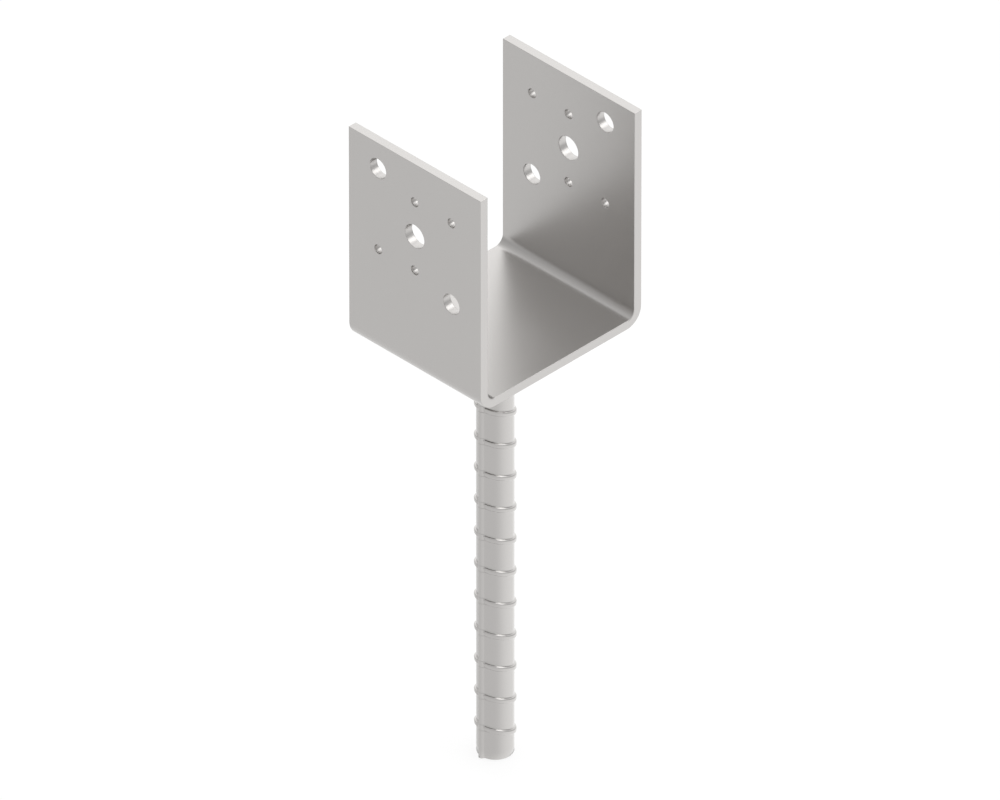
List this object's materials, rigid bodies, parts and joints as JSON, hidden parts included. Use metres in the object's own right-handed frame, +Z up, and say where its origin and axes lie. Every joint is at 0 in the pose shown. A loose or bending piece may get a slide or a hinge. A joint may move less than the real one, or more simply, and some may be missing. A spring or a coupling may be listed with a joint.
{
  "type": "timber post base",
  "caption": "U-shaped steel bracket that holds the foot of a square timber post, on a ribbed bar cast into concrete.",
  "frame": {"origin": "centre of the plate's underside, where the ribbed bar is welded on and the part is held by its concrete footing", "axes": "+Z up the post, X across the two flanges, Y along the flanges' width; the bar hangs down along -Z"},
  "size_m": [0.11, 0.09, 0.375],
  "materials": {
    "plate_steel": "satin, even light grey, like zinc-coated plate",
    "bar_steel": "satin, even light grey, like zinc-coated ribbed bar",
    "weld_steel": "satin, rippled weld metal under the same zinc coat"
  },
  "bodies": {
    "root": {"folded_bracket": "plate_steel", "anchor_bar": "bar_steel", "weld_bead": "weld_steel"}
  },
  "joints": []
}
